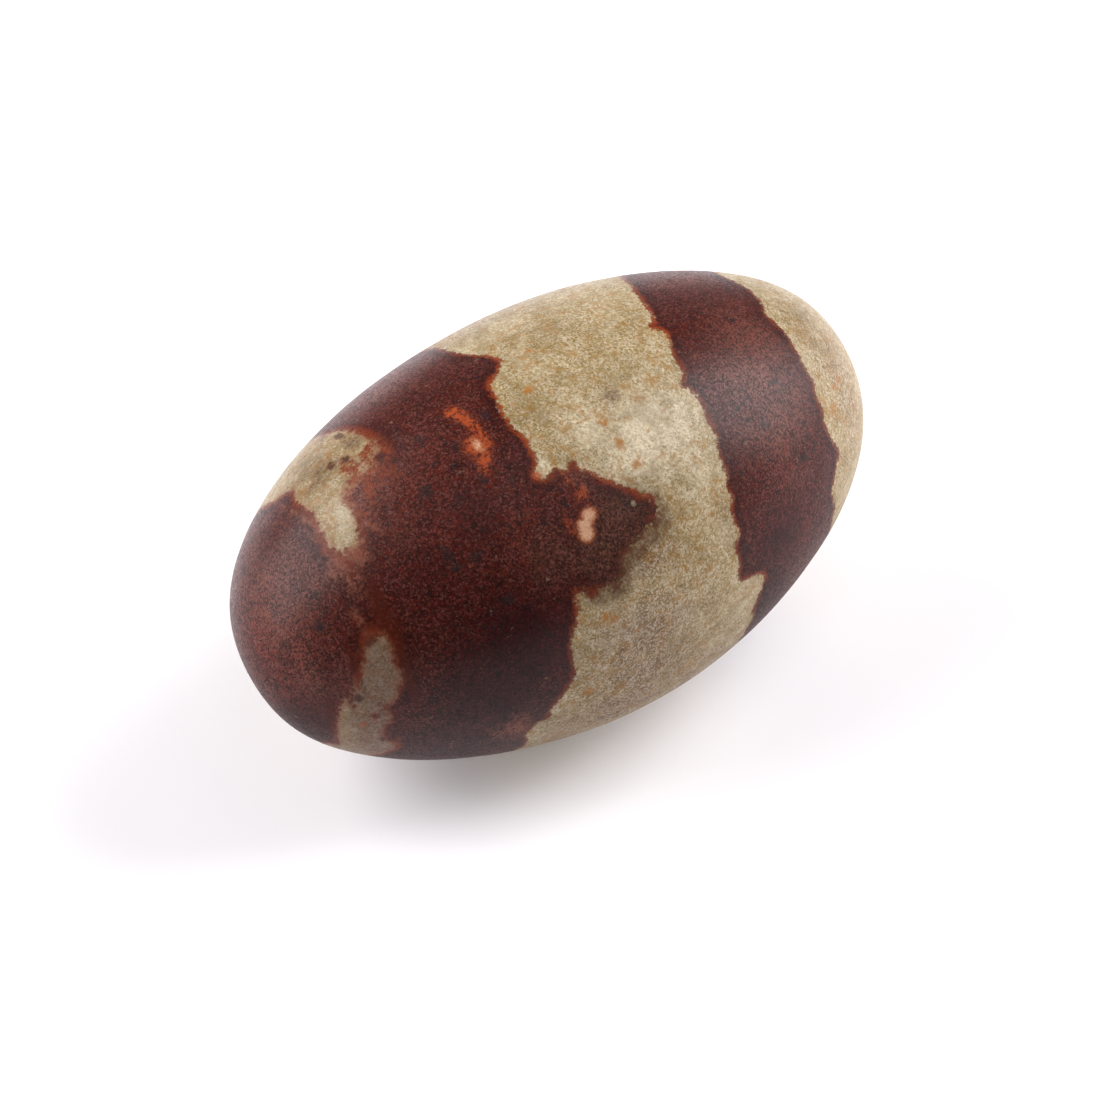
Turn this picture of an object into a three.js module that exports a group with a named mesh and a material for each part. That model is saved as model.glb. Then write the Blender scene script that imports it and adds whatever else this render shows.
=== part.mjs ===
// A shiva lingam stone: an egg-shaped river pebble of fine-grained quartz rock, rubbed smooth by hand
// and lying on its side. It is one solid piece of rock.
//
// Millimetres, +Z up. The origin is on the plane that the stone rests on, below the middle of the
// stone. +X runs along the long axis, towards the end with the pale tip, and Y runs across it.

import * as THREE from "three";
import { mergeVertices } from "three/addons/utils/BufferGeometryUtils.js";

// Driving dimensions of the finished stone
const LENGTH = 64; // along the long axis
const WIDTH = 37.1; // across it, on the level
const HEIGHT = 35.3; // from the resting face to the crown
const RUBBED_DEPTH = 0.5; // how much the belly is worn off flat, where the stone rests
const CELLS = 24; // grid cells along one side of each of the six patches that make up the surface

// A river pebble is never a true ellipsoid. Each of these is a broad, low swelling, or a rubbed-down
// place where the height is negative: the direction it faces from the middle, its height in
// millimetres, and how far it spreads in degrees.
const SWELLINGS = [
  { place: "pale shoulder", towards: [0.88, 0.17, 0.45], height: 0.5, spread: 20 },
  { place: "front belly", towards: [0.05, -0.84, -0.53], height: 0.65, spread: 26 },
  { place: "back belly", towards: [0.35, 0.85, -0.4], height: 0.3, spread: 24 },
  { place: "upper back", towards: [-0.22, 0.79, 0.57], height: -0.2, spread: 26 },
  { place: "dark flank", towards: [-0.74, -0.46, -0.49], height: -0.15, spread: 20 },
  { place: "dark underside", towards: [-0.62, 0.35, -0.7], height: -0.25, spread: 20 },
  { place: "blunt dark tip", towards: [-0.98, 0.13, -0.16], height: -0.7, spread: 18 },
  { place: "worn pale tip", towards: [0.96, -0.18, 0.23], height: -0.15, spread: 16 },
];

const stoneSurface = new THREE.MeshStandardMaterial({ color: 0x7a5145, roughness: 0.5, metalness: 0 });

// How far the surface stands out from the ellipsoid in one direction.
function swellingTowards(direction) {
  let height = 0;
  for (const swelling of SWELLINGS) {
    const middle = new THREE.Vector3(...swelling.towards).normalize();
    const reach = 1 - Math.cos(THREE.MathUtils.degToRad(swelling.spread));
    height += swelling.height * Math.exp((direction.dot(middle) - 1) / reach);
  }
  return height;
}

// The point of the unworn stone in one direction: on an ellipsoid, moved out along its normal.
function pebblePoint(direction, halfAxes) {
  const onEllipsoid = direction.clone().multiply(halfAxes);
  const normal = direction.clone().divide(halfAxes).normalize();
  return onEllipsoid.addScaledVector(normal, swellingTowards(direction));
}

// Cells of a cube, spread evenly over a sphere by the tangent, then moved out to the stone. Six square
// patches leave no pole, where long thin cells would meet.
function pebbleGeometry() {
  const cube = new THREE.BoxGeometry(2, 2, 2, CELLS, CELLS, CELLS);
  cube.deleteAttribute("normal");
  cube.deleteAttribute("uv");
  const pebble = mergeVertices(cube);
  const points = pebble.getAttribute("position");
  const halfAxes = new THREE.Vector3(LENGTH, WIDTH, HEIGHT + RUBBED_DEPTH).multiplyScalar(0.5);
  const spread = (along) => Math.tan((along * Math.PI) / 4);
  for (let i = 0; i < points.count; i++) {
    const cell = new THREE.Vector3().fromBufferAttribute(points, i);
    const direction = new THREE.Vector3(spread(cell.x), spread(cell.y), spread(cell.z)).normalize();
    points.setXYZ(i, ...pebblePoint(direction, halfAxes));
  }
  return pebble;
}

// Brings the pebble to its driving dimensions, standing just far enough under the plane z = 0 for
// the worn face.
function sizeAndPlace(pebble) {
  pebble.center();
  pebble.computeBoundingBox();
  const swollen = pebble.boundingBox.getSize(new THREE.Vector3());
  pebble.scale(LENGTH / swollen.x, WIDTH / swollen.y, (HEIGHT + RUBBED_DEPTH) / swollen.z);
  pebble.translate(0, 0, (HEIGHT - RUBBED_DEPTH) / 2);
}

// Everything that would be below the plane z = 0 is worn off, which leaves a small flat face.
function wearFlat(pebble) {
  const points = pebble.getAttribute("position");
  for (let i = 0; i < points.count; i++) {
    points.setZ(i, Math.max(points.getZ(i), 0));
  }
}

function makeStone() {
  const pebble = pebbleGeometry();
  sizeAndPlace(pebble);
  wearFlat(pebble);
  pebble.computeVertexNormals();
  const stone = new THREE.Mesh(pebble, stoneSurface);
  stone.name = "stone";
  return stone;
}

const part = new THREE.Group();
part.add(makeStone());

export default part;
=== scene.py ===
# %% [markdown]
# A shiva lingam stone is a river pebble of fine quartz sandstone, stained by iron in maroon bands and
# then rubbed by hand until it has the sheen of an eggshell. It is a single piece with no joins, so all
# of its looks are in two things: a skin that is smooth but never perfectly regular, and a stain that
# has soaked through the rock with ragged, rusty edges. The solid that comes in from the CAD gives
# the size and the overall shape, and everything below is wrapped onto it.

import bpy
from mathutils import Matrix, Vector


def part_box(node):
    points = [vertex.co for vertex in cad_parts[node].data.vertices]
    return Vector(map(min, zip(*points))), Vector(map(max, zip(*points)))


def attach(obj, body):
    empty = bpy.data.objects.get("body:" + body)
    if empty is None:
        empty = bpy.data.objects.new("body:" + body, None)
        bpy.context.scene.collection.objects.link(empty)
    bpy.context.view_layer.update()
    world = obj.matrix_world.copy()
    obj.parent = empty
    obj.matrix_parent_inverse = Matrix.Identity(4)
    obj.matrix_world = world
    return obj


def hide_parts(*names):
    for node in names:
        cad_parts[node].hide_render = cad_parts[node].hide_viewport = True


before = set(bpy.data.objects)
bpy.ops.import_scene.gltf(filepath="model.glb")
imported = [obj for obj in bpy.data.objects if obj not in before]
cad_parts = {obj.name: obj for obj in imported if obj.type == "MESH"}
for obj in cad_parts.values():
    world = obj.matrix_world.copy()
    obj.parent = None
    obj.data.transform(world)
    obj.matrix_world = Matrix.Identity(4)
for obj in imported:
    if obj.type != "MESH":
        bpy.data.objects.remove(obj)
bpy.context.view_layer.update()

# %% Libraries and units
import math
import random

import bpy
import numpy as np
from mathutils import Vector, noise
from mathutils.bvhtree import BVHTree
from mathutils.kdtree import KDTree

MM = 0.001  # Blender works in metres here, and a stone is easier to think of in millimetres
scene = bpy.context.scene
low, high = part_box("stone")
middle = (low + high) / 2
half = (high - low) / 2
print("stone, mm:", [round(2 * side / MM, 2) for side in half])

# %% [markdown]
# The camera looks down on the stone at 47 degrees and sees its long axis at a slant, with the pale
# tip furthest away. A long lens from 40 cm keeps the far end nearly as large as the near one, so the
# egg keeps its true proportions. It aims a little below the stone's middle, which leaves more floor
# in front.

# %% Camera
ELEVATION, AZIMUTH = math.radians(47), math.radians(-36.93)
DISTANCE = 403.5 * MM
AIM_LEFT, AIM_DOWN = 0.36 * MM, 3.49 * MM  # from the stone's middle, across the line of sight
FOCAL_LENGTH, SENSOR_WIDTH = 150, 36  # mm, the unit that Blender's lenses use


def direction(azimuth, elevation):
    """Unit vector towards a place seen from the stone: azimuth 0 is in front, and grows to the right."""
    return Vector((
        math.sin(azimuth) * math.cos(elevation),
        -math.cos(azimuth) * math.cos(elevation),
        math.sin(elevation),
    ))


toward_camera = direction(AZIMUTH, ELEVATION)
right = Vector((math.cos(AZIMUTH), math.sin(AZIMUTH), 0))
up = toward_camera.cross(right)
lens = bpy.data.cameras.new("camera")
lens.lens, lens.sensor_width = FOCAL_LENGTH, SENSOR_WIDTH
camera = bpy.data.objects.new("camera", lens)
scene.collection.objects.link(camera)
camera.location = middle - right * AIM_LEFT - up * AIM_DOWN + toward_camera * DISTANCE
camera.rotation_euler = toward_camera.to_track_quat("Z", "Y").to_euler()
scene.camera = camera
print("camera, mm:", [round(x / MM, 1) for x in camera.location])

# %% [markdown]
# The skin is a fine grid in six patches, like the faces of a dice blown up into an egg. A globe's
# grid of meridians would pinch at two poles, where colours and bumps go wrong. Each grid point
# is sent out from the middle until it meets the CAD solid, and the distances are then averaged with
# their neighbours, which takes away the solid's flat facets and leaves its shape.

# %% The grid of six patches
CELLS = np.array([176, 104, 104])  # along X, Y and Z: cells of about 0.28 mm on every side


def six_patches(cells):
    """Lattice points on a box's six sides, each cell's four corners, and their places on its patch."""
    points, quads, places = [], [], []
    for axis in range(3):
        first, second = (axis + 1) % 3, (axis + 2) % 3
        i, j = np.meshgrid(np.arange(cells[first] + 1), np.arange(cells[second] + 1), indexing="ij")
        number = np.arange(i.size).reshape(i.shape)
        ring = [number[:-1, :-1], number[1:, :-1], number[1:, 1:], number[:-1, 1:]]
        cell = np.stack(ring, -1).reshape(-1, 4)
        on_patch = np.stack([i.ravel() / cells[first], j.ravel() / cells[second]], -1)
        for side in (0, cells[axis]):
            sheet = np.empty((i.size, 3), int)
            sheet[:, axis], sheet[:, first], sheet[:, second] = side, i.ravel(), j.ravel()
            facing_out = cell if side else cell[:, ::-1]
            quads.append(facing_out + sum(len(p) for p in points))
            places.append(on_patch[facing_out])
            points.append(sheet)
    lattice, shared = np.unique(np.concatenate(points), axis=0, return_inverse=True)
    return lattice, shared.ravel()[np.concatenate(quads)], places


lattice, quads, patch_places = six_patches(CELLS)
spread = np.tan((2 * lattice / CELLS - 1) * math.pi / 4)
spread /= np.linalg.norm(spread, axis=1)[:, None]
egg = spread * np.array(half)
print("points:", len(egg), "cells:", len(quads))

# %% Send the points out to the solid
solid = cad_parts["stone"].data
faces = [tuple(p.vertices) for p in solid.polygons]
tree = BVHTree.FromPolygons([v.co for v in solid.vertices], faces)
reach = np.empty(len(egg))
for number, point in enumerate(egg):
    hit = tree.ray_cast(middle, Vector(point))[0]
    reach[number] = (hit - middle).length / np.linalg.norm(point)
edges = np.unique(np.sort(np.concatenate([quads[:, [k, (k + 1) % 4]] for k in range(4)]), axis=1), axis=0)
neighbours = np.bincount(edges.ravel(), minlength=len(egg))


def averaged(values, rounds):
    """Each point's value, mixed half and half with the mean of its neighbours, in several rounds."""
    for _ in range(rounds):
        around = np.bincount(edges[:, 0], values[edges[:, 1]], len(values))
        around += np.bincount(edges[:, 1], values[edges[:, 0]], len(values))
        values = (values + around / neighbours) / 2
    return values


FACET_ROUNDS = 60  # a facet is about 4 by 7 cells, and this many rounds spread a value that far
smooth_reach = averaged(reach, FACET_ROUNDS)
print("moved by, mm:", round(float(np.abs(reach - smooth_reach).max() * half.x / MM), 3))

# %% [markdown]
# Rubbing leaves a skin that is smooth to the finger but not to the light: it swells and sinks by less
# than a tenth of a millimetre over the width of a fingertip, and here and there some grains have come
# away and left a shallow pit. Both are real relief in the mesh. The exact places of the pits don't
# matter, so a seeded generator scatters them.

# %% Swells and pits
SWELL_WIDTH, SWELL_HEIGHT = 7 * MM, 0.05 * MM
RIPPLE_WIDTH, RIPPLE_HEIGHT = 2.2 * MM, 0.012 * MM
PITS, PIT_DEPTH = 90, 0.05 * MM
PIT_RADIUS = (0.35, 0.75)  # mm, the smallest and the largest
SEED = 7
chance = random.Random(SEED)
skin = egg * smooth_reach[:, None]
swell = np.array([noise.noise(Vector(point) / SWELL_WIDTH) for point in skin]) * SWELL_HEIGHT
swell += np.array([noise.noise(Vector(point) / RIPPLE_WIDTH) for point in skin]) * RIPPLE_HEIGHT
points_tree = KDTree(len(skin))
for number, point in enumerate(skin):
    points_tree.insert(point, number)
points_tree.balance()
for _ in range(PITS):
    heart = skin[chance.randrange(len(skin))]
    radius = chance.uniform(*PIT_RADIUS) * MM
    for _, number, distance in points_tree.find_range(heart, radius):
        swell[number] -= PIT_DEPTH * (1 - (distance / radius) ** 2) ** 2
outward = spread / np.array(half)
outward /= np.linalg.norm(outward, axis=1)[:, None]
skin += outward * swell[:, None]
skin -= (skin.max(0) + skin.min(0)) / 2
skin *= np.array(high - low) / np.ptp(skin, axis=0)
skin += np.array(middle)
print("relief, mm:", round(float(swell.min() / MM), 3), "to", round(float(swell.max() / MM), 3))

# %% [markdown]
# The points and cells become a mesh, and smooth shading rounds off what is left of the cells. The
# mesh also gets a flat map of itself, so that its colours can later be baked for another program:
# each of the six patches becomes one rectangle. The four long ones stand in two columns and the two
# round ends in a third, so that a millimetre of stone is about as long everywhere on it.

# %% Make the mesh
mesh = bpy.data.meshes.new("stone_skin")
mesh.from_pydata(skin, [], quads)
mesh.shade_smooth()
stone = bpy.data.objects.new("stone_skin", mesh)
scene.collection.objects.link(stone)
print("mesh:", len(mesh.vertices), "points and", len(mesh.polygons), "cells")

# %% The flat map
COLUMNS_AND_ROWS = [(2, 0), (2, 1), (0, 0), (0, 1), (1, 0), (1, 1)]
ROUND, LONG = CELLS[1], CELLS[0]  # cells across a patch and along it
GAP = 0.02  # the share of a patch's width that stays empty round it
flat = []
for number, ((column, row), places) in enumerate(zip(COLUMNS_AND_ROWS, patch_places)):
    axis = number // 2
    across, along = (places[..., 1], places[..., 0]) if axis == 2 else (places[..., 0], places[..., 1])
    height = ROUND if axis == 0 else LONG
    across = (across - 0.5) * (1 - GAP) + 0.5
    along = (along - 0.5) * (1 - GAP) + 0.5
    flat.append(np.stack([column * ROUND + across * ROUND, row * LONG + along * height], -1) / (2 * LONG))
flat = np.concatenate(flat)
flat_map = mesh.uv_layers.new(name="OFBake")
flat_map.data.foreach_set("uv", flat.astype(np.float32).ravel())
print("flat map, from", flat.min(axis=(0, 1)).round(3), "to", flat.max(axis=(0, 1)).round(3))

# %% [markdown]
# The iron stain is the stone's whole character, so its outlines are drawn and not left to chance. A
# place on the stone has two numbers, like longitude and latitude: the station, in millimetres
# along the long axis from the middle, and the turn, in degrees round that axis, where 0 is the crown,
# 90 the front, 180 underneath and -90 the back. An outline is a list of such places, with a smooth
# curve through them. Round the back and underneath, each border has fewer points and gets
# its wobble from noise.

# %% Places on the stone
AXIS_HEIGHT = 17.2 * MM  # of the line that the turns go round, above the floor
TIP_STATION = 31.5  # mm, just short of the tips, where a ray across the axis still meets the skin
station = skin[:, 0] / MM
turn = np.degrees(np.arctan2(-skin[:, 1], skin[:, 2] - AXIS_HEIGHT))
skin_tree = BVHTree.FromPolygons([Vector(p) for p in skin], quads.tolist())


def place(at_station, at_turn):
    """The point on the skin at a station and a turn, and the skin's normal there."""
    angle = math.radians(at_turn)
    start = Vector((max(-TIP_STATION, min(TIP_STATION, at_station)) * MM, 0, AXIS_HEIGHT))
    point, normal = skin_tree.ray_cast(start, Vector((0, -math.sin(angle), math.cos(angle))))[:2]
    return point, normal


print("a place on the crown, mm:", [round(x / MM, 1) for x in place(0, 0)[0]])

# %% Smooth curves through places
CURVE_STEP = 0.25  # mm between neighbouring points of a curve
MM_PER_DEGREE = 0.3  # of turn, round the stone's middle


def curve_through(knots):
    """A smooth curve through the knots (Catmull-Rom), as places about a quarter of a millimetre apart."""
    knots = np.array(knots, float)
    knots = np.concatenate([2 * knots[:1] - knots[1:2], knots, 2 * knots[-1:] - knots[-2:-1]])
    run = []
    for before, start, end, after in zip(knots, knots[1:], knots[2:], knots[3:]):
        length = math.hypot(end[0] - start[0], (end[1] - start[1]) * MM_PER_DEGREE)
        for t in np.arange(0, 1, 1 / max(2, math.ceil(length / CURVE_STEP))):
            run.append(0.5 * (
                2 * start + (end - before) * t
                + (2 * before - 5 * start + 4 * end - after) * t**2
                + (3 * start - before - 3 * end + after) * t**3
            ))
    run.append(knots[-2])
    return np.array(run)


print("a curve through three places has", len(curve_through([(0, 0), (5, 20), (10, 0)])), "points")

# %% Their wobble on the hidden sides
WOBBLE = 0.7  # mm
NOISE_RING = 7  # the radius, in waves of noise, of the ring that a border's wobble is read from
FINER, FINER_SHARE = 2.7, 0.6  # the second, finer wave: how much finer, and how high beside the first
BACK_FROM, BACK_FADE = 45, 15  # degrees past the crown: where the wobble begins, and how far it grows
BELOW_FROM, BELOW_FADE = 115, 12  # the same on the way down the front


def wobbled(run, seed):
    """The curve, with its stations shaken by noise where the hidden stretches have few knots."""
    shaken = run.copy()
    for number, (s, t) in enumerate(run):
        turn_here = (t + 180) % 360 - 180
        behind = np.clip((-turn_here - BACK_FROM) / BACK_FADE, 0, 1)
        below = np.clip((turn_here - BELOW_FROM) / BELOW_FADE, 0, 1)
        angle = math.radians(t)
        around = Vector((seed, math.cos(angle) * NOISE_RING, math.sin(angle) * NOISE_RING))
        wave = noise.noise(around) + FINER_SHARE * noise.noise(around * FINER)
        shaken[number, 0] += WOBBLE * (behind + below) * wave
    return shaken


straight = curve_through([(0, -180), (0, 180)])
print("the wobble, mm:", round(float(np.abs(wobbled(straight, 1) - straight).max()), 2))

# %% [markdown]
# The dark half runs from the near tip nearly to the middle. Its edge is the most ragged line on the
# stone: it is set back on the crown, puts out a tongue in front and falls far back below the tongue.

# %% The dark half's edge, all the way round
DARK_EDGE = [
    (-13.0, -180), (-10.4, -164), (-8.2, -148), (-7.0, -132), (-5.2, -116), (-4.6, -100), (-5.6, -84),
    (-5.0, -70), (-4.5, -58), (-4.3, -46), (-4.1, -40), (-4.4, -36), (-4.3, -27), (-4.0, -22),
    (-3.3, -19), (-2.9, -15), (-2.8, -12), (-3.4, -10), (-4.2, -8), (-5.3, -6.5), (-5.7, -3),
    (-6.0, 1), (-6.6, 6), (-6.6, 10), (-6.5, 15), (-6.8, 22), (-7.5, 24), (-7.7, 25.5), (-7.3, 27),
    (-6.8, 27.5), (-6.3, 26.5), (-5.8, 26.5), (-5.3, 28), (-4.6, 27), (-4.1, 26.8), (-4.0, 29.5),
    (-3.3, 31.5), (-2.8, 35), (-1.9, 37.5), (-0.9, 41), (0.0, 43.8), (0.6, 45.4), (0.85, 47.4), (0.75, 50),
    (0.2, 52.5), (-1.0, 54), (-2.6, 55.8), (-3.8, 57), (-4.2, 60), (-5.0, 63.5), (-5.6, 64.2),
    (-7.0, 64), (-8.2, 62.4), (-8.6, 60.5), (-9.0, 60.5), (-9.3, 62.5), (-9.4, 65), (-9.9, 68),
    (-10.5, 72), (-10.8, 77), (-10.8, 84), (-11.2, 87.5), (-12.2, 92), (-12.9, 96), (-13.2, 100),
    (-14.3, 103), (-14.6, 108), (-14.3, 114), (-14.2, 122), (-14.6, 134), (-13.8, 150), (-13.6, 166),
    (-13.0, 180),
]
dark_edge = wobbled(curve_through(DARK_EDGE), 1)
print("dark half's edge:", len(dark_edge), "points")

# %% [markdown]
# The belt is a second band of the same iron, nearer the pale tip. Its far edge is nearly straight and
# its near edge bulges in front.

# %% The belt's two edges, near and far
BELT_NEAR = [
    (10.4, -180), (12.2, -160), (12.8, -142), (14.6, -124), (14.9, -106), (16.3, -90), (15.6, -72),
    (15.6, -56), (15.0, -40), (13.8, -30), (13.1, -22), (12.4, -16), (12.0, -11), (11.5, -6),
    (11.2, -3.5), (10.8, -1), (10.1, 1), (10.8, 3), (11.0, 5), (10.6, 8), (9.9, 12), (9.7, 17),
    (9.3, 20), (8.4, 22.5), (8.5, 23.7), (9.1, 25), (9.1, 30), (8.8, 35), (8.9, 39), (8.3, 44),
    (8.1, 50), (7.6, 54), (7.7, 57), (7.1, 61), (7.3, 67), (6.6, 71), (6.8, 75), (6.4, 80.5),
    (7.4, 83), (9.2, 85), (9.6, 88), (9.0, 92), (8.4, 97), (8.4, 103), (8.0, 108), (7.9, 116),
    (8.8, 130), (8.6, 146), (9.6, 162), (10.4, 180),
]
BELT_FAR = [
    (20.8, -180), (21.6, -158), (22.6, -138), (22.4, -120), (23.6, -102), (23.4, -84), (24.0, -66),
    (23.2, -50), (22.9, -38), (22.5, -26), (22.4, -18), (22.8, -9), (22.5, 3), (21.8, 8), (21.9, 11),
    (22.2, 18), (22.0, 28), (21.8, 36), (21.9, 39), (21.4, 46), (21.3, 53), (21.0, 56), (21.2, 62),
    (21.8, 69.5), (21.2, 73), (20.4, 77), (19.9, 81), (20.4, 89), (20.1, 96), (20.3, 110),
    (19.6, 126), (20.4, 142), (20.2, 160), (20.8, 180),
]
belt_near = wobbled(curve_through(BELT_NEAR), 2)
belt_far = wobbled(curve_through(BELT_FAR), 3)
print("belt's edges:", len(belt_near), "and", len(belt_far), "points")

# %% [markdown]
# A pale seam lies between the dark cap on the near tip and the dark half's body. It starts at the
# crown, runs round the back and underneath, and comes up in front, where it narrows. Its two
# ends don't quite meet, so it is drawn as one loop: out along one edge and back along the other.

# %% The pale seam between the dark half's cap and its body
SEAM_TIPWARD = [
    (-23.2, 11.4), (-23.8, 10), (-24.1, 6), (-24.1, 0), (-23.6, -8), (-23.2, -18), (-23.2, -26),
    (-22.6, -31), (-22.6, -35), (-23.1, -39), (-23.6, -42), (-23.7, -55), (-23.4, -70), (-24.4, -90),
    (-24.6, -110), (-26.0, -130), (-26.4, -150), (-27.6, -172), (-27.8, -196), (-28.7, -216),
    (-28.5, -234), (-28.7, -248), (-28.9, -258), (-28.9, -270), (-28.7, -280), (-27.9, -288),
    (-27.4, -294), (-26.8, -302), (-26.1, -310), (-25.6, -314),
]
SEAM_BODYWARD = [
    (-25.2, -315), (-24.6, -313), (-24.3, -309), (-24.5, -300), (-24.3, -295), (-24.7, -290),
    (-25.3, -284), (-25.9, -280), (-25.7, -273), (-26.2, -265), (-26.0, -257), (-25.1, -253),
    (-25.1, -247), (-25.7, -240), (-25.4, -226), (-24.4, -206), (-24.0, -186), (-22.2, -164),
    (-21.4, -144), (-19.4, -124), (-18.8, -104), (-17.2, -84), (-17.2, -66), (-16.6, -50),
    (-16.7, -44), (-16.2, -37), (-15.9, -26), (-15.8, -19), (-16.0, -14), (-16.9, -10), (-17.9, -8),
    (-18.8, -9.5), (-19.5, -9), (-20.3, -8.5), (-20.9, -7), (-21.1, -1), (-21.6, 5), (-22.0, 9),
    (-22.6, 11.8),
]
seam = wobbled(curve_through(SEAM_TIPWARD + SEAM_BODYWARD + SEAM_TIPWARD[:1]), 4)
print("seam:", len(seam), "points")

# %% [markdown]
# Iron soaks into the rock from cracks and bedding, and stops at a front where it has rusted. What a
# point looks like therefore depends on how deep in the stain it is: orange rust on the front, nearly
# black just behind it, and maroon further in. So each point keeps its distance to the nearest
# edge in millimetres, positive inside. Where iron has thinned out, a soft blot makes the depth
# grow more slowly, which makes the rim there broad and vague.

# %% Distances to an edge
def inside_of(loop):
    """Which skin points are inside a closed loop of places, counting how often the loop is crossed."""
    inside = np.zeros(len(station), bool)
    for lap in (-360, 0, 360):
        around = turn + lap
        crossings = np.zeros(len(station), bool)
        for (s0, t0), (s1, t1) in zip(loop, np.roll(loop, -1, axis=0)):
            if t0 == t1:
                continue
            near = np.flatnonzero((t0 > around) != (t1 > around))
            crossings[near] ^= station[near] < s0 + (s1 - s0) * (around[near] - t0) / (t1 - t0)
        inside |= crossings
    return inside


def depth_inside(loop, border):
    """Millimetres from each skin point to the border, positive inside the loop."""
    border_tree = KDTree(len(border))
    for number, (s, t) in enumerate(border):
        border_tree.insert(place(s, t)[0], number)
    border_tree.balance()
    distance = np.array([border_tree.find(point)[2] for point in skin]) / MM
    return np.where(inside_of(loop), distance, -distance)


PAST_THE_TIP = -60  # mm, a station well off the stone
beyond_the_tip = [(PAST_THE_TIP, 180), (PAST_THE_TIP, -180)]
in_dark = depth_inside(np.concatenate([dark_edge, beyond_the_tip]), dark_edge)
in_belt = depth_inside(np.concatenate([belt_near, belt_far[::-1]]), np.concatenate([belt_near, belt_far]))
in_seam = depth_inside(seam, seam)
iron = np.maximum(np.minimum(in_dark, -in_seam), in_belt)
print("stained part of the surface:", round(float((iron > 0).mean()), 2))

# %% Oval blots
FAR_SIDE = 99  # stands for a distance on the other side of the stone


def oval_distance(at_station, at_turn, along, across):
    """How far out each skin point is in an oval mark: 0 in its middle and 1 on its edge. along is half
    the mark's length, down the stone, and across is half its width, both in mm."""
    heart, normal = place(at_station, at_turn)
    angle = math.radians(at_turn)
    round_the_axis = Vector((0, -math.cos(angle), -math.sin(angle)))
    down_the_stone = round_the_axis.cross(normal).normalized()
    away = (skin - np.array(heart)) / MM
    oval = np.hypot(away @ np.array(down_the_stone) / along, away @ np.array(round_the_axis) / across)
    return np.where(outward @ np.array(normal) > 0, oval, FAR_SIDE)


def soft_blots(marks):
    """The strongest of several soft marks at each point. A mark is station, turn, half its length, half
    its width and its strength, and fades out from its middle."""
    return np.max([mark[4] * np.exp(-oval_distance(*mark[:4]) ** 2) for mark in marks], axis=0)


def spots(marks):
    """The depth in mm inside the nearest of several marks with an edge, negative outside them."""
    return np.max([(1 - oval_distance(*mark)) * min(mark[2:]) for mark in marks], axis=0)


SOFT_EDGES = [
    (-17.5, -14, 3.5, 5.0, 0.75), (-20, -5, 3.0, 5.0, 0.6), (-22.5, 9, 2.0, 3.0, 0.5),
    (-24, 25, 3.0, 8.0, 0.7), (-25.5, 52, 3.0, 4.0, 0.4), (-27.5, 85, 2.5, 7.0, 0.4),
    (-1.0, 56, 3.0, 3.0, 0.7), (-7.0, 63, 2.5, 2.0, 0.75),
]
iron = iron * (1 - soft_blots(SOFT_EDGES))
print("soft edges:", len(SOFT_EDGES))

# %% [markdown]
# The blots that follow are drawn one by one, because each one is seen: a mark is a place, its two half
# sizes, and for a soft one its strength. On the back and underneath there are fewer and larger ones.

# %% Marks in the pale sand
# Partly paler sand and partly painted sheen: the first three blots, on the front of the tan between the
# dark half and the belt, lighten it where the right softbox's highlight falls.
PALE_SAND_AND_SHEEN = [
    (3.2, 32, 6.0, 3.8, 1.05), (-1.5, 22, 2.5, 3.0, 0.8), (5.8, 44, 3.0, 3.5, 0.7),
    (-6.6, 24.5, 0.8, 0.8, 1.0), (-21.8, -3, 1.5, 3.0, 0.5), (-16.3, -17.5, 0.8, 0.6, 0.7),
    (5, -110, 5, 5, 0.7), (2, 172, 5, 6, 0.6), (26, -110, 3, 4, 0.6), (-0.9, 34, 1.8, 1.5, 1.0),
]
# Painted shade: these blots darken the tan where less light reaches it, mostly low on the front and
# underneath, and also at the far tip.
PAINTED_SHADE_ON_SAND = [
    (-2.5, 60, 4.0, 2.2, 0.9), (-4.0, 82, 5.5, 4.5, 1.15), (-3.5, 94, 6.0, 4.0, 1.0),
    (-5.5, 108, 6.0, 4.0, 1.1), (-11, 115, 4.0, 5.0, 1.0), (3, 110, 6.0, 5.0, 0.7),
    (6.8, 62, 1.2, 3.0, 0.5), (0, -42, 9.0, 4.0, 0.5), (26, 18, 4.0, 6.0, 0.3), (26, 45, 4.0, 8.0, 0.6),
    (-20, -26, 3.0, 3.0, 0.5), (-9.0, 112, 3.0, 4.0, 1.0),
]
OLIVE = [
    (-2.2, 46, 3.2, 2.6, 1.0), (-4.8, 52, 4.0, 2.4, 1.0), (-6.3, 61, 2.0, 1.4, 0.8),
    (-9.5, 48, 3.0, 2.8, 0.6), (1.6, 50, 0.8, 1.6, 0.3), (-0.5, 56.5, 2.6, 0.9, 0.4),
    (-5.5, 65, 2.4, 0.8, 0.5), (1.8, 55, 1.2, 1.4, 0.2), (-20.4, -26, 2.0, 1.6, 0.5),
    (-20.5, -36, 2.5, 2.5, 0.5), (3, -14, 4.0, 3.0, 0.25), (26, 12, 4, 5, 0.3), (-1.5, -130, 3, 3, 0.5),
    (27, 150, 3, 3, 0.4), (0, 135, 2.5, 2, 0.5),
]
WINDOW = [
    (-26.0, 70, 3.5, 7.5, 1), (-26.3, 95, 3.5, 9.0, 1), (-27, 120, 4, 12, 0.6),
]
marks = {
    "iron": iron,
    "seam": in_seam,
    "pale sand and painted sheen": soft_blots(PALE_SAND_AND_SHEEN),
    "painted shade on sand": soft_blots(PAINTED_SHADE_ON_SAND),
    "olive": soft_blots(OLIVE),
    "window": soft_blots(WINDOW),
}
print("marks in the sand:", len(PALE_SAND_AND_SHEEN + PAINTED_SHADE_ON_SAND + OLIVE + WINDOW))
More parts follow.
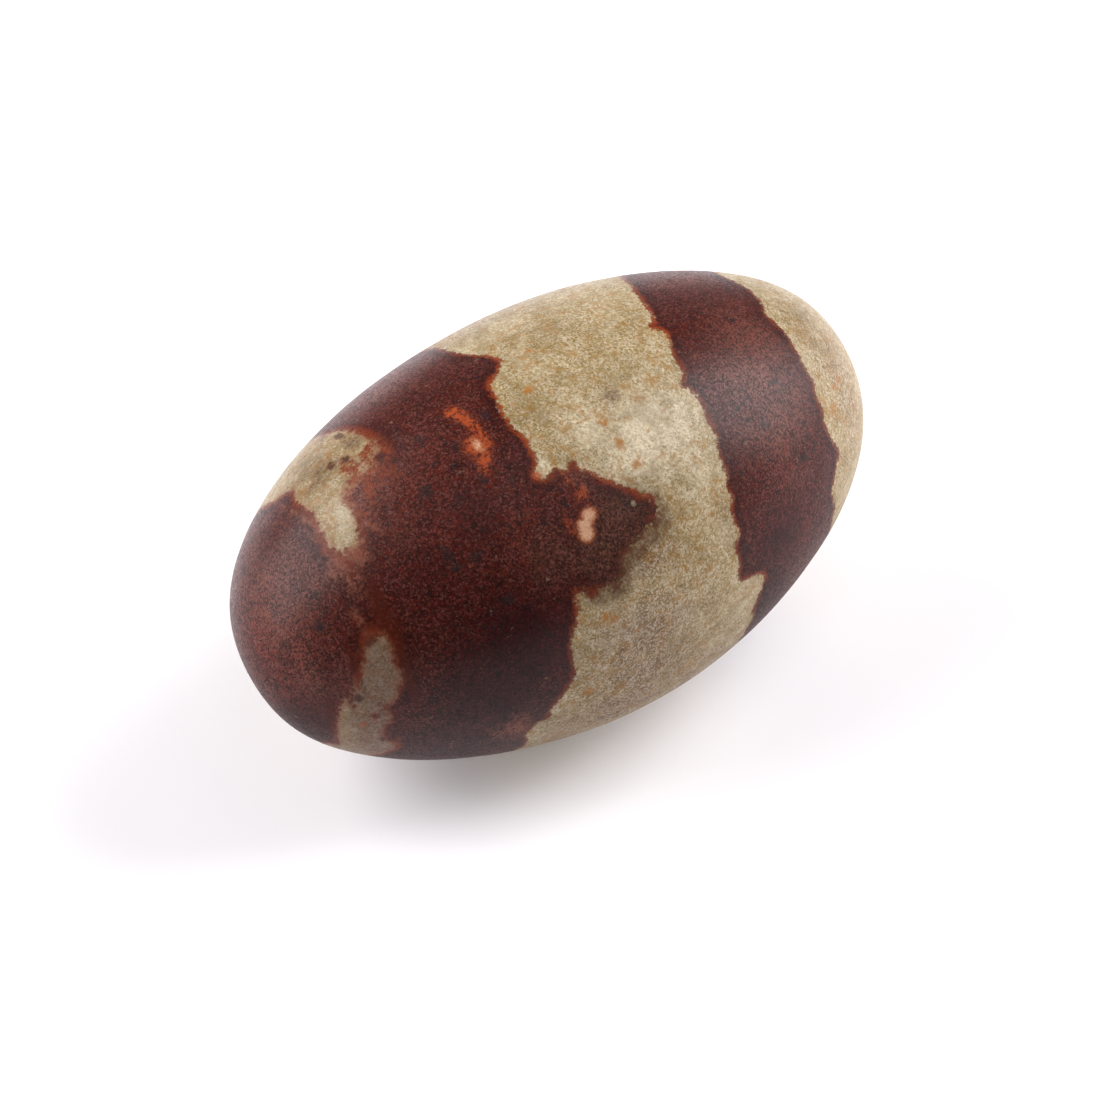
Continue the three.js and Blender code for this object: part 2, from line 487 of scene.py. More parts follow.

# %% Marks in the stain
# Partly dust and partly painted sheen: the blots on the belt, on the near tip and on the back rims lighten
# the iron where the softboxes' highlights and the grazing sheen fall; the rest are dust.
DUST_AND_SHEEN = [
    (18, 15, 4.0, 6.0, 1.0), (16, 38, 4.0, 6.0, 1.1), (14.5, 62, 3.5, 4.0, 0.5), (-30, 20, 4, 10, 1.0),
    (-30, 50, 4, 8, 0.9), (-26.5, -8, 2.5, 6.0, 0.3), (-11, 38, 3, 4, 0.5), (-16, 2, 5, 5, 0.4),
    (18, -20, 5, 4, 0.9), (-9, -38, 8, 4, 1.0), (10, 94, 2.5, 3.0, 0.6), (14.5, 84, 3.0, 3.0, 0.4),
    (-12, -95, 6, 6, 0.8), (18, -100, 4, 6, 0.7), (-17, 172, 6, 7, 0.6), (-30, -120, 3, 8, 0.6),
    (-21, 110, 3.0, 2.0, 0.4), (-30.5, 118, 1.5, 4, 0.5), (-27.5, 8, 2.5, 4.0, 0.4),
    (-19.6, 15, 3.0, 3.2, 0.6),
]
# Partly deeper, wine-dark iron and partly painted shade: the blots low on the front and at the bottom of
# the near tip darken the iron where the sheen off the floor falls; those on the hidden sides are darker
# iron.
DEEP_IRON_AND_SHADE = [
    (-15, 68, 6.0, 5.5, 1.0), (-18, 86, 6.0, 7.0, 0.9), (-19.5, 30, 3.5, 4.0, 0.4),
    (-14, 28, 3.5, 3.5, 0.5), (-20, 112, 7.0, 6.0, 0.9), (-30.6, 120, 3, 5, 1.0),
    (-27, -27, 2.5, 3.0, 0.4), (12, 78, 4.0, 4.0, 0.7), (17, -8, 4.5, 3.0, 0.4), (10, 98, 4, 5, 0.8),
    (-12, -150, 6, 6, 0.8), (16, 170, 4, 6, 0.6), (-28.9, 50, 1.3, 4.0, 0.4),
]
BLUE_BLACK = [
    (-17.5, 33, 0.5, 0.9), (-15.4, 37.3, 0.9, 0.5), (-17.2, 37.5, 0.6, 0.4), (-7.7, 2, 0.4, 0.7),
    (-11.5, 18, 0.5, 0.5), (-14.2, 20, 0.6, 0.4), (-9.6, 23, 0.5, 0.4), (-14.7, 53, 0.6, 0.5),
    (-13.4, -4, 0.5, 0.5), (-16, 12, 0.6, 0.6), (-11.7, 5, 0.5, 0.5), (14, 44, 0.5, 0.5),
    (17, 60, 0.6, 0.5), (-28, 30, 0.5, 0.6),
]
PALE_ISLETS = [
    (-5.4, 41.8, 0.75, 0.6), (-6.1, 43.6, 0.75, 0.65), (-6.3, 45.9, 0.72, 0.75),
    (-10.1, 8.9, 0.42, 0.75), (-8.6, -96, 0.85, 0.6), (-9.1, -98.4, 0.6, 0.6), (-17.8, 170, 0.8, 1.0),
    (17.4, 152, 0.7, 0.9),
]
PALE_DOTS = [
    (-1.3, 44.8, 0.26, 0.26), (-12.0, -118, 0.35, 0.35), (17.6, -112, 0.3, 0.35),
    (-20.5, 148, 0.35, 0.3),
]
marks["dust_and_sheen"] = soft_blots(DUST_AND_SHEEN)
marks["deep"] = soft_blots(DEEP_IRON_AND_SHADE)
marks["islet"] = spots(PALE_ISLETS)
marks["dot"] = spots(PALE_DOTS)
print("marks in the stain:", len(DUST_AND_SHEEN + DEEP_IRON_AND_SHADE + BLUE_BLACK + PALE_ISLETS + PALE_DOTS))

# %% Marks along the edges
BARE_EDGE = [
    (-1.2, 54.5, 3.2, 1.5, 1.0), (1.0, 50, 1.0, 1.6, 0.9), (-5.5, 63.5, 2.2, 1.4, 1.0),
    (-4.0, 59.5, 1.2, 1.6, 1.0), (-8.8, 61, 1.2, 1.2, 0.7), (-28.2, 76, 1.2, 8.0, 0.9),
    (-25.8, 52, 2.0, 2.5, 0.5), (-24, 42, 1.5, 4.0, 0.6), (-26.0, 95, 1.0, 5.0, 0.6),
    (-28.6, 94, 1.2, 6.0, 0.9), (-19.5, -3, 2.5, 5.0, 0.9), (-17.5, -14, 3.0, 4.5, 0.8),
    (-22.5, 11, 2.0, 2.0, 0.5), (-24.0, 62, 0.9, 5.0, 0.7), (-25.2, 84, 0.9, 4.5, 0.8),
]
BRIGHT_RIM = [
    (-3.2, -15, 2.5, 3.0, 0.8), (-5.8, 0, 2.0, 5.0, 1.0), (-6.8, 16, 2.0, 3.0, 1.0),
    (-3.0, 33, 3.0, 3.0, 0.8), (0.0, 42, 1.5, 1.5, 0.8), (11.0, -1, 2.0, 3.5, 1.0),
    (9.6, 10, 1.5, 2.5, 0.6), (12.6, -18, 1.5, 3.0, 0.5), (7.6, 62, 1.5, 4.0, 0.5),
    (-9.4, 66, 1.0, 1.5, 0.8), (8.8, 86, 2.0, 2.0, 0.6), (-4.8, -105, 2, 4, 0.9),
    (-11, -158, 2, 4, 0.8), (15.5, -112, 2, 3, 0.8), (22.6, -135, 2, 3, 0.7), (9, 150, 2, 3, 0.8),
    (-14, 140, 2, 4, 0.8), (-22, -140, 2, 4, 0.8),
]
RED_BROWN = [
    (-23.8, 41, 0.9, 3.5, 0.9), (-23.9, 52, 0.6, 3.0, 1.0), (-23.9, 66, 0.5, 3.5, 1.0),
    (-27.2, 58, 0.4, 3.0, 0.9), (-28.1, 70, 0.35, 2.5, 0.8), (-29.4, 88, 0.4, 5.0, 0.7),
    (-25.5, 46.5, 1.0, 0.7, 0.9), (-26.2, 82, 0.5, 1.5, 0.6), (-25.9, 93, 0.4, 3.0, 0.5),
    (-19.3, -22.8, 0.6, 0.8, 1.0),
]
BROWN = [
    (2.3, 16, 0.9, 0.9, 0.8), (-20.5, -26.5, 0.9, 0.5, 0.9), (-21.4, -23.5, 1.0, 0.5, 0.6),
    (-17.1, -43, 0.8, 1.2, 0.7), (-16.8, -23.5, 0.9, 1.6, 0.8), (0.9, 46.5, 0.6, 0.9, 0.6),
    (1.1, 49.5, 0.7, 1.0, 0.6), (0.5, 52.5, 1.0, 0.9, 0.9), (-1.0, 54.6, 1.2, 0.9, 1.0),
    (-2.7, 56.4, 1.2, 0.9, 1.0), (-3.9, 58.5, 0.9, 0.9, 1.0), (-4.6, 61.5, 0.9, 1.0, 0.9),
    (-5.6, 64.4, 1.1, 0.8, 0.9), (-7.4, 63.4, 1.1, 0.8, 0.9),
]
ROSE = [
    (-20.8, 4, 0.8, 2.6, 0.8), (-18.6, 2, 1.6, 1.6, 0.5), (-24.4, 14, 0.55, 1.8, 0.9),
    (-24.4, 21, 0.55, 2.0, 0.7), (-24.2, 29, 0.6, 2.5, 0.25), (-24.0, -20, 0.4, 5.0, 0.7),
    (-24.6, 3, 0.35, 3.0, 0.7), (-22.6, 12.5, 1.3, 0.6, 0.6), (-5.0, 30, 0.8, 0.9, 0.7),
    (-6.4, 28.5, 0.8, 0.6, 0.5), (-15.8, 101, 1.3, 2.4, 0.8), (-17.4, 103, 1.2, 1.6, 0.5),
    (-17.6, -11.5, 0.7, 0.7, 1.0), (-25.6, 38, 0.7, 2.0, 0.5), (-24.9, 13.8, 1.2, 1.2, 0.9),
    (-23.0, 14.6, 1.1, 1.4, 0.85), (-24.4, 19.5, 1.1, 1.8, 0.8), (-4.4, 33.2, 0.9, 1.0, 0.7),
]
marks["rimmed"] = 1 - soft_blots(BARE_EDGE)
marks["bright rim"] = soft_blots(BRIGHT_RIM)
marks["red brown"] = soft_blots(RED_BROWN)
marks["brown"] = soft_blots(BROWN)
marks["rose"] = soft_blots(ROSE)
print("marks along the edges:", len(BARE_EDGE + BRIGHT_RIM + RED_BROWN + BROWN + ROSE))

# %% Rust and specks
RUST = [
    (-9.6, -5.5, 0.7, 0.8, 1.1), (-9.4, -2.3, 0.7, 0.9, 1.1), (-9.2, 0.9, 0.65, 0.9, 1.0),
    (-9.2, 3.8, 0.6, 0.9, 0.8), (-9.3, 7.5, 0.5, 0.9, 1.0), (-10.1, 9.0, 1.3, 1.5, 0.9),
    (-10.4, 13.8, 0.8, 0.6, 1.1), (-11.0, 16.4, 0.6, 0.9, 0.6), (-5.2, 36, 0.7, 1.3, 0.7),
    (-5.4, 32, 0.6, 1.4, 0.5), (-7.3, 41.5, 0.5, 1.4, 0.55), (-7.6, 26, 0.6, 0.6, 0.9),
    (-27.5, 92.5, 0.4, 0.5, 0.5), (-26.7, 86, 0.5, 0.6, 0.8), (-9.2, 59.5, 0.5, 0.8, 0.5),
    (-9.5, -110, 0.7, 1.6, 0.9), (-16.6, 160, 0.7, 2.4, 0.9), (17.5, -98, 0.6, 2.2, 0.8),
    (14.0, 200, 0.6, 1.8, 0.8),
]
SANDY_RUST = [
    (-18.7, -14.5, 0.9, 1.2, 1.1), (-18.6, -20, 0.7, 0.7, 0.9), (-16.8, -15, 1.3, 0.6, 1.1),
    (-15.6, -22, 0.5, 3.0, 0.8), (-16.3, -9.5, 1.3, 1.4, 0.8), (-17.6, -8.5, 1.3, 1.4, 0.75),
    (-19.4, -9.5, 0.9, 1.0, 1.0), (-18.8, -5, 1.3, 1.6, 0.85), (-17.2, -2.5, 1.2, 1.5, 0.7),
    (-20.4, -5.5, 0.9, 1.4, 0.8), (-19.4, -0.5, 1.2, 1.4, 0.7), (-20.9, 1.5, 0.6, 1.8, 0.8),
    (-15.2, -12, 0.8, 1.5, 0.4), (-25.0, 106, 0.7, 1.6, 0.5), (-23.5, -125, 1.2, 1.8, 0.8),
    (-26.3, 175, 1.0, 1.4, 0.7), (13.0, -140, 0.9, 1.6, 0.7),
]
OCHRE_SPECKS = [
    (-3.3, 2.5, 0.45, 0.35), (-0.3, -10, 0.35, 0.35), (0.2, 22, 0.4, 0.35), (0.3, 29, 0.4, 0.55),
    (0.7, 36, 0.45, 0.4), (-7.2, 70, 0.4, 0.4), (-6.5, 71.5, 0.35, 0.3), (-9.6, 93.5, 0.5, 0.4),
    (25.5, 45, 0.4, 0.4), (24.2, 47, 0.35, 0.35), (23.0, 53, 0.35, 0.35),
]
DARK_SPECKS = [
    (-16.75, -32.4, 0.35, 0.9), (-16.6, -8.9, 0.58, 0.55), (-24.8, 0, 0.35, 0.35),
    (-27.6, 73.6, 0.5, 0.45), (-26.7, 85, 0.35, 0.35), (-26.1, 103, 0.4, 0.4),
    (-18.35, -19.5, 0.42, 0.42),
]
marks["rust"] = soft_blots(RUST)
marks["sandy rust"] = soft_blots(SANDY_RUST)
marks["speck"] = spots(DARK_SPECKS)
print("rust and specks:", len(RUST + SANDY_RUST + OCHRE_SPECKS + DARK_SPECKS))

# %% [markdown]
# The sides that are out of the camera's sight have the same small specks, and there the exact places
# don't matter. The seeded generator that made the pits scatters them: ochre ones, which the iron
# covers where it lies, and blue-black ones, which show only in the iron.

# %% Specks on the far sides, and all the marks onto the mesh
FAR_SPECKS = 34
FAR_STATIONS = (-28, 28)  # mm, nearly to the tips
FAR_TURNS = (125, 305)  # from below the front, underneath and up the back
FAR_HALF_LENGTH, FAR_HALF_WIDTH = (0.3, 0.55), (0.3, 0.8)  # mm, the smallest and the largest
far_ochre, far_blue_black = [], []
for _ in range(FAR_SPECKS):
    for specks in (far_ochre, far_blue_black):
        at = chance.uniform(*FAR_STATIONS), chance.uniform(*FAR_TURNS)
        specks.append((*at, chance.uniform(*FAR_HALF_LENGTH), chance.uniform(*FAR_HALF_WIDTH)))
marks["ochre"] = spots(OCHRE_SPECKS + far_ochre)
marks["blue black"] = spots(BLUE_BLACK + far_blue_black)
RUBBED_ABOVE, FADE = 0.25, 0.6  # in how far up the skin faces, from 1 at the crown to -1 underneath
marks["unrubbed"] = np.clip(RUBBED_ABOVE - outward[:, 2], 0, FADE) / FADE
for name, values in marks.items():
    mesh.attributes.new(name, "FLOAT", "POINT").data.foreach_set("value", values.astype(np.float32))
print("marks on the mesh:", sorted(marks))

# %% [markdown]
# Rubbed sandstone: quartz sand held together by silica, with iron oxide between the grains. Rubbing
# has worn the tops of the grains level, so the stone is matt close up and has a broad, soft sheen
# from further off. Its pattern is one sand grain after another, each with its own tone, so the
# colours start from a Voronoi texture with one cell to a grain, and noise at wider and wider scales
# gathers the grains into mottles, blotches and clouds.

# %% Nodes and colours
def linear(hex_colour):
    """A colour from its sRGB hex value, in the linear light that Blender mixes."""
    channels = [int(hex_colour[k:k + 2], 16) / 255 for k in (1, 3, 5)]
    return [c / 12.92 if c <= 0.04045 else ((c + 0.055) / 1.055) ** 2.4 for c in channels] + [1]


def add(material, kind, inputs=None, **settings):
    """A node with its settings. Each input is a number, a colour, or another node's output to link."""
    node = material.node_tree.nodes.new("ShaderNode" + kind)
    for name, value in settings.items():
        setattr(node, name, value)
    for name, value in (inputs or {}).items():
        if isinstance(value, bpy.types.NodeSocket):
            material.node_tree.links.new(value, node.inputs[name])
        else:
            node.inputs[name].default_value = value
    return node


# %% The patterns, from grains to clouds
GRAIN = 0.15  # mm, fine sand
WIDTHS = {"fine": 0.36, "mottle": 1.1, "blotch": 3, "cloud": 9}  # mm, from clumps of grains upwards
LAYERS, LAYER_STRENGTH = 2, 0.6  # finer layers on each of them, and each one's strength beside the last
rubbed_sandstone = bpy.data.materials.new("rubbed_sandstone")
rubbed_sandstone.use_nodes = True
rubbed_sandstone.node_tree.nodes.clear()
where = add(rubbed_sandstone, "TexCoord").outputs["Object"]
in_mm = add(rubbed_sandstone, "VectorMath", {0: where, "Scale": 1 / MM}, operation="SCALE").outputs[0]
grains = add(rubbed_sandstone, "TexVoronoi", {"Vector": in_mm, "Scale": 1 / GRAIN}, feature="F1")
textures = {"grain": grains}
for name, width in WIDTHS.items():
    textures[name] = add(rubbed_sandstone, "TexNoise", {
        "Vector": in_mm, "Scale": 1 / width, "Detail": LAYERS, "Roughness": LAYER_STRENGTH,
    })
pattern = {}
for name, texture in textures.items():
    split = add(rubbed_sandstone, "SeparateColor", {"Color": texture.outputs["Color"]})
    for letter, channel in zip("rgb", ("Red", "Green", "Blue")):
        pattern[name + "_" + letter] = split.outputs[channel]
print("patterns:", sorted(pattern))

# %% [markdown]
# The colour is built like a watercolour, in washes from the sand up. Each wash has a strength. For a
# mark that gives a depth, that is the depth in mm, shaken by the patterns. For a soft mark, which
# goes from 0 to 1, it is the mark times 1 plus the shake, so that nothing shows where there is no
# mark. A wash with no mark has 1 plus the shake. Where the strength passes start the colour
# begins, and at full it covers by its amount. With full below start, the wash fades the other way,
# which gives a rim its outer edge. A wash can also stay within an earlier one: the rust rim lies
# only where the iron has reached.

# %% How a wash is laid
DEPTHS = {"iron", "seam", "islet", "dot", "ochre", "speck", "blue black"}
RAGGED = {"mottle_g": 0.9, "fine_g": 0.7, "grain_r": 0.12}
BROKEN = {"mottle_b": 1.0, "fine_r": 0.9, "grain_g": 0.25}
MOTTLED = {"mottle_b": 2.4, "fine_r": 2.0, "grain_g": 0.5}
GRAINY = {"mottle_b": 3.0, "fine_r": 3.4, "grain_g": 1.0}
FACTOR, UNDER, OVER, MIXED = 0, 6, 7, 2  # the mix node's sockets when it mixes colours
coverage = {}


def sum_up(start, weights):
    """start, plus each pattern's distance from a half times its weight."""
    for source, weight in weights.items():
        shake = add(rubbed_sandstone, "Math", {0: pattern[source], 1: 0.5}, operation="SUBTRACT").outputs[0]
        total = {0: shake, 1: weight, 2: start}
        start = add(rubbed_sandstone, "Math", total, operation="MULTIPLY_ADD").outputs[0]
    return start


def lay(colour_so_far, washes):
    """The colour after each wash has gone over it. A row is its name, colour, mark, start, full,
    amount, the wash that it stays within, and the patterns' weights."""
    for name, colour, mark, start, full, amount, within, weights in washes:
        drawn = add(rubbed_sandstone, "Attribute", attribute_name=mark).outputs["Fac"] if mark else None
        strength = sum_up(drawn, weights) if mark in DEPTHS else sum_up(1, weights)
        if mark and mark not in DEPTHS:
            both = {0: strength, 1: drawn}
            strength = add(rubbed_sandstone, "Math", both, operation="MULTIPLY").outputs[0]
        cover = add(rubbed_sandstone, "MapRange", {
            "Value": strength, "From Min": start, "From Max": full, "To Max": amount,
        }, interpolation_type="SMOOTHSTEP").outputs[0]
        if within:
            both = {0: cover, 1: coverage[within]}
            cover = add(rubbed_sandstone, "Math", both, operation="MULTIPLY").outputs[0]
        coverage[name] = cover
        if colour:
            mixed = {FACTOR: coverage[name], UNDER: colour_so_far, OVER: linear(colour)}
            colour_so_far = add(rubbed_sandstone, "Mix", mixed, data_type="RGBA").outputs[MIXED]
    print("washes so far:", len(coverage), "nodes:", len(rubbed_sandstone.node_tree.nodes))
    return colour_so_far


# %% [markdown]
# Unstained, the stone is a tan sand with an olive cast. Single grains of clear quartz and of dark
# mineral stand out, and clouds a centimetre wide are paler or more olive. The first two rows are the
# light and shaded places: pale sand that is partly painted sheen where the right softbox's highlight
# falls on the tan, and painted shade that darkens the tan mostly low on the front and underneath. The
# seam's rows and the ochre specks also keep to their marks, and the rest have no mark and lie all over.

# %% Pale sand
SAND = [
    # Partly paler sand and partly painted sheen where the highlight falls on the tan.
    ("pale sand and painted sheen", "#cdbd9f", "pale sand and painted sheen", 0.0, 1.1, 0.85, None, {"mottle_r": 0.8, "blotch_g": 0.8}),
    # Painted shade, darkening the tan mostly low on the front and underneath.
    ("painted shade on sand", "#5e3b27", "painted shade on sand", 0.0, 1.2, 0.8, None, {"mottle_r": 1.2, "blotch_g": 0.8}),
    ("the seam", None, "seam", -3.0, -2.0, 1.0, None, {}),
    ("shaded grains", "#4c340e", None, 0.6, 1.7, 0.6, None,
     {"grain_r": 0.8, "fine_r": 0.6, "mottle_r": 0.6}),
    ("clear grains", "#e9dcc8", None, 0.6, 1.7, 0.45, None,
     {"grain_g": 0.8, "fine_b": 0.6, "mottle_r": -0.6}),
    ("stained seam", "#5f4b36", None, 0.5, 1.4, 0.42, "the seam", {"blotch_g": 0.6, "mottle_r": 0.5}),
    ("pale clouds", "#c8bba0", None, 0.8, 1.4, 0.25, None,
     {"cloud_g": 1.2, "blotch_g": 0.9, "mottle_g": 0.6}),
    ("olive blotches", "#5f4a1c", None, 0.85, 1.5, 0.45, None,
     {"cloud_r": 0.7, "blotch_r": 1.3, "mottle_g": 1.1}),
    ("ochre flecks", "#8e6122", None, 0.95, 1.5, 0.65, None,
     {"mottle_b": 1.4, "blotch_b": 0.6, "fine_g": 1.2}),
    ("ochre specks", "#976024", "ochre", -0.3, 0.3, 0.8, None, {"fine_g": 0.8}),
]
colour = lay(linear("#8f794e"), SAND)

# %% [markdown]
# Near the stain the sand takes up a little iron. The seam is greyer where it comes up in front, like
# a window in the dark, and has its own grains there. It blushes along its edges.

# %% The seam, the window and the stain's outskirts
SEAM = [
    ("olive outskirts", "#523d20", "olive", 0.0, 1.0, 0.85, None, {"fine_g": 1.2, "mottle_r": 1.4}),
    ("window", "#5e4237", "window", 0.0, 0.9, 0.75, "the seam", {"mottle_r": 0.8}),
    ("dark window grains", "#2c1f18", None, 0.8, 1.7, 0.6, "window", {"grain_b": 1.0, "fine_g": 0.9}),
    ("clear window grains", "#a09084", None, 0.8, 1.7, 0.5, "window", {"grain_r": 1.0, "fine_b": 0.9}),
    ("rusty mottles", "#7c452c", None, 1.05, 1.5, 0.55, "the seam",
     {"mottle_b": 1.3, "fine_r": 1.0, "grain_g": 0.4}),
    ("blush in the seam", "#7a4834", "seam", 0.6, -0.3, 0.7, "the seam", BROKEN),
]
colour = lay(colour, SEAM)

# %% [markdown]
# Red iron oxide fills the gaps between the grains and turns the rock maroon. The grains themselves
# stay lighter or go black, and whole patches lean to red, brown or wine. Where the highlights fall on
# the belt, the near tip and the rims, blots of dust carry a painted sheen too, and low on the front
# blots of deeper iron carry a painted shade. The first row has no colour: it only keeps how far the
# iron has reached, for the rims.

# %% The iron stain
IRON = [
    ("reach of the iron", None, "iron", -0.15, 0.1, 1.0, None, RAGGED),
    ("iron stain", "#46140d", "iron", 0.05, 0.35, 1.0, None, RAGGED),
    # Partly dust, partly painted sheen on the belt, the near tip and the rims.
    ("iron dust and painted sheen", "#703e33", "dust_and_sheen", 0.0, 1.2, 0.65, "iron stain", {"mottle_r": 1.4, "blotch_g": 1.4}),
    ("red patches", "#611d10", None, 0.9, 1.5, 0.6, "iron stain",
     {"cloud_r": 0.9, "blotch_r": 1.1, "mottle_g": 0.9}),
    ("brown patches", "#4a2a22", None, 1.0, 1.55, 0.4, "iron stain",
     {"blotch_b": 1.3, "mottle_r": 0.9, "fine_b": 0.4}),
    ("wine patches", "#240508", None, 0.95, 1.5, 0.6, "iron stain",
     {"blotch_g": -1.2, "mottle_b": 1.0, "fine_r": 0.4}),
    ("olive in the stain", "#4e3427", "olive", 0.0, 0.9, 0.75, "iron stain",
     {"fine_g": 1.5, "mottle_r": 1.2}),
    ("grey grains", "#7a4d46", None, 0.75, 1.65, 0.38, "iron stain", {"grain_r": 1.6, "fine_g": 0.35}),
    # Partly darker iron, partly painted shade low on the front.
    ("deep iron and painted shade", "#2d0509", "deep", 0.0, 1.0, 0.85, "iron stain", {"mottle_r": 1.2, "blotch_g": 1.2}),
    ("black grains", "#140503", None, 0.8, 1.5, 0.75, "iron stain",
     {"grain_b": 1.5, "fine_b": 0.4, "mottle_b": 0.4}),
    ("blue-black specks", "#14181b", None, 1.3, 1.5, 0.7, "iron stain", {"mottle_b": 1.9, "fine_g": 0.7}),
    ("beige specks", "#80604e", None, 1.4, 1.65, 0.6, "iron stain", {"mottle_g": -2.0, "fine_r": 1.0}),
    ("rimmed iron", None, "rimmed", 0.2, 0.8, 1.0, "reach of the iron", {}),
    ("iron at the edge", "#240504", "iron", 1.7, 0.5, 0.5, "rimmed iron", BROKEN),
    ("blue-black spots", "#161b1d", "blue black", -0.25, 0.35, 0.55, "iron stain",
     {"fine_g": 0.9, "mottle_g": 0.8}),
]
colour = lay(colour, IRON)

# %% [markdown]
# At its edges the oxide turns to rust. It is brown where it is old, orange where it is thin,
# and at its brightest in a few drawn streaks. Dark grains show through all of it.

# %% Rims, rust and specks
RIMS = [
    ("red-brown rims", "#44160a", "red brown", 0.15, 0.9, 0.85, None, MOTTLED),
    ("brown smudges", "#4f3422", "brown", 0.05, 0.9, 0.7, None, {"fine_g": 1.5, "mottle_g": 1.2}),
    ("rust rim", "#6b2913", "iron", 0.6, 0.2, 0.75, "rimmed iron", BROKEN),
    ("bright edge", None, "bright rim", 0.1, 1.0, 1.0, "rust rim", MOTTLED),
    ("bright rust rim", "#9a451e", "iron", 0.45, 0.2, 0.75, "bright edge", BROKEN),
    ("dark rim grains", "#34100a", None, 0.75, 1.6, 0.6, "rust rim", {"grain_b": 1.0, "fine_b": 0.9}),
    ("thin iron", "#784535", "rose", 0.1, 1.2, 0.85, None, GRAINY),
    ("sandy rust", "#752f12", "sandy rust", 0.1, 1.1, 0.9, None, GRAINY),
    ("rust", "#9c4523", "rust", 0.15, 1.25, 0.9, None, GRAINY),
    ("dark rust grains", "#3a130b", None, 0.75, 1.6, 0.6, "sandy rust", {"grain_g": 1.0, "fine_g": 0.9}),
    ("orange islet rims", "#94502f", "islet", -0.25, 0.1, 0.75, None, {"fine_g": 0.3, "grain_b": 0.2}),
    ("pale islets", "#c49a7c", "islet", -0.05, 0.4, 0.95, None, {"fine_g": 0.3, "grain_b": 0.2}),
    ("islet grains", "#946048", None, 0.75, 1.6, 0.5, "pale islets",
     {"fine_b": 1.2, "grain_r": 0.8, "mottle_g": 0.8}),
    ("pale dots", "#94826c", "dot", -0.1, 0.2, 0.8, None, {"fine_g": 0.3}),
    ("dark specks", "#34120c", "speck", -0.2, 0.25, 0.85, None, {"fine_g": 0.5}),
]
colour = lay(colour, RIMS)

# %% [markdown]
# Rubbing gives the crown and flanks an even, broad sheen, and hands reach them better than the
# underside: low down the stone is a little duller. Worn grains are smoother or rougher one by one, and
# the joints between them are barely deep enough to feel. Solid quartz has an IOR of 1.54, but a worn,
# porous skin gives back less light than that, so the IOR here is matched to its weaker gloss.

# %% Sheen and touch
BUMP_HEIGHT = 0.02 * MM
GRAIN_RELIEF = 0.5  # how high single grains stand beside the clumps of grains
SMOOTHEST, GRAIN_TO_GRAIN, DULLING = 0.27, 0.18, 0.12  # roughness, and what each cause adds to it
WORN_QUARTZ_IOR = 1.25
relief = add(rubbed_sandstone, "Math", {0: pattern["grain_b"], 1: GRAIN_RELIEF, 2: pattern["fine_r"]},
             operation="MULTIPLY_ADD").outputs[0]
bump = add(rubbed_sandstone, "Bump", {"Height": relief, "Distance": BUMP_HEIGHT, "Strength": 1.0})
roughness = add(rubbed_sandstone, "Math", {0: pattern["grain_b"], 1: GRAIN_TO_GRAIN, 2: SMOOTHEST},
                operation="MULTIPLY_ADD").outputs[0]
unrubbed = add(rubbed_sandstone, "Attribute", attribute_name="unrubbed").outputs["Fac"]
roughness = add(rubbed_sandstone, "Math", {0: unrubbed, 1: DULLING, 2: roughness},
                operation="MULTIPLY_ADD").outputs[0]
finish = add(rubbed_sandstone, "BsdfPrincipled", {
    "Base Color": colour, "Roughness": roughness, "IOR": WORN_QUARTZ_IOR,
    "Normal": bump.outputs["Normal"],
})
add(rubbed_sandstone, "OutputMaterial", {"Surface": finish.outputs["BSDF"]})
mesh.materials.append(rubbed_sandstone)
print("nodes in rubbed sandstone:", len(rubbed_sandstone.node_tree.nodes))

# %% [markdown]
# The stone lies on white paper, between two large softboxes. The right one is smaller and brighter
# and puts the broad sheen on the belt, and the left one puts a weaker sheen on the dark tip. Narrow
# ones beside and below them light the flanks. The lamps overhead and behind are faint, so the dark
# half stays dark. A faint glow from the paper itself is what a lit table gives.

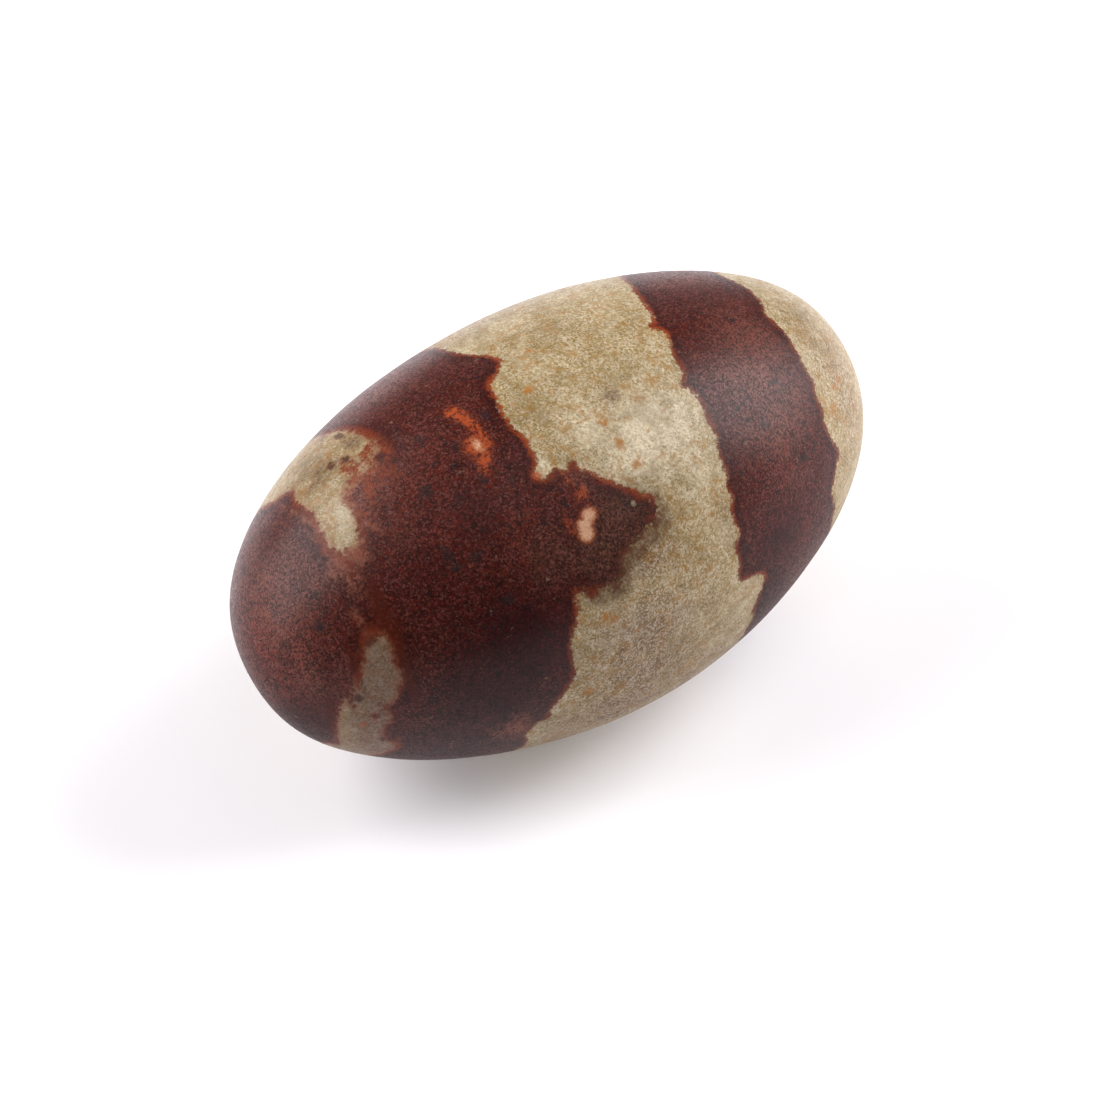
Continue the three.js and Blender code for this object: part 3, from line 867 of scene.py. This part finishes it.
# %% Floor
SIDE = 3  # metres from the middle to the paper's edge, so that the edge is never seen
GLOW = 0.12
floor_mesh = bpy.data.meshes.new("paper_floor")
corners = [(-SIDE, -SIDE, 0), (SIDE, -SIDE, 0), (SIDE, SIDE, 0), (-SIDE, SIDE, 0)]
floor_mesh.from_pydata(corners, [], [(0, 1, 2, 3)])
floor = bpy.data.objects.new("paper_floor", floor_mesh)
scene.collection.objects.link(floor)
white_paper = bpy.data.materials.new("white_paper")
white_paper.use_nodes = True
white_paper.node_tree.nodes.clear()
paper = add(white_paper, "BsdfPrincipled", {
    "Base Color": linear("#f1eef2"), "Roughness": 1.0, "IOR": 1.0,
    "Emission Color": linear("#ffffff"), "Emission Strength": GLOW,
})
add(white_paper, "OutputMaterial", {"Surface": paper.outputs["BSDF"]})
floor_mesh.materials.append(white_paper)
print("paper floor:", 2 * SIDE, "m square")

# %% Softboxes
# name, degrees round from the camera (to the right), elevation, distance, width, height (m), watts
SOFTBOXES = [
    ("softbox_right", 107, 36, 0.6, 0.32, 0.42, 4.12),
    ("softbox_far_right", 128, 42, 0.6, 0.16, 0.4, 0.69),
    ("softbox_right_low", 112, 9, 0.6, 0.45, 0.14, 1.0),
    ("softbox_left", 262, 35, 0.6, 0.6, 0.42, 5.24),
    ("softbox_left_low", 272, 9, 0.6, 0.6, 0.14, 1.22),
    ("overhead", 60, 82, 0.8, 0.5, 0.3, 0.47),
    ("behind", 180, 20, 0.8, 0.5, 0.3, 0.3),
]
ROOM_LIGHT = 0.01
for name, round_from_camera, elevation, distance, width, height, watts in SOFTBOXES:
    light = bpy.data.lights.new(name, "AREA")
    light.shape, light.size, light.size_y, light.energy = "RECTANGLE", width, height, watts
    softbox = bpy.data.objects.new(name, light)
    scene.collection.objects.link(softbox)
    towards = direction(AZIMUTH + math.radians(round_from_camera), math.radians(elevation))
    softbox.location = middle + towards * distance
    softbox.rotation_euler = towards.to_track_quat("Z", "Y").to_euler()
room = bpy.data.worlds.new("dim_room")
room.use_nodes = True
room.node_tree.nodes["Background"].inputs["Color"].default_value = (1, 1, 1, 1)
room.node_tree.nodes["Background"].inputs["Strength"].default_value = ROOM_LIGHT
scene.world = room
scene.view_settings.view_transform = "Standard"
print("softboxes:", len(SOFTBOXES))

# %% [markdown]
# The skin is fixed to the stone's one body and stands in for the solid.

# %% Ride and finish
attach(stone, "root")
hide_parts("stone")
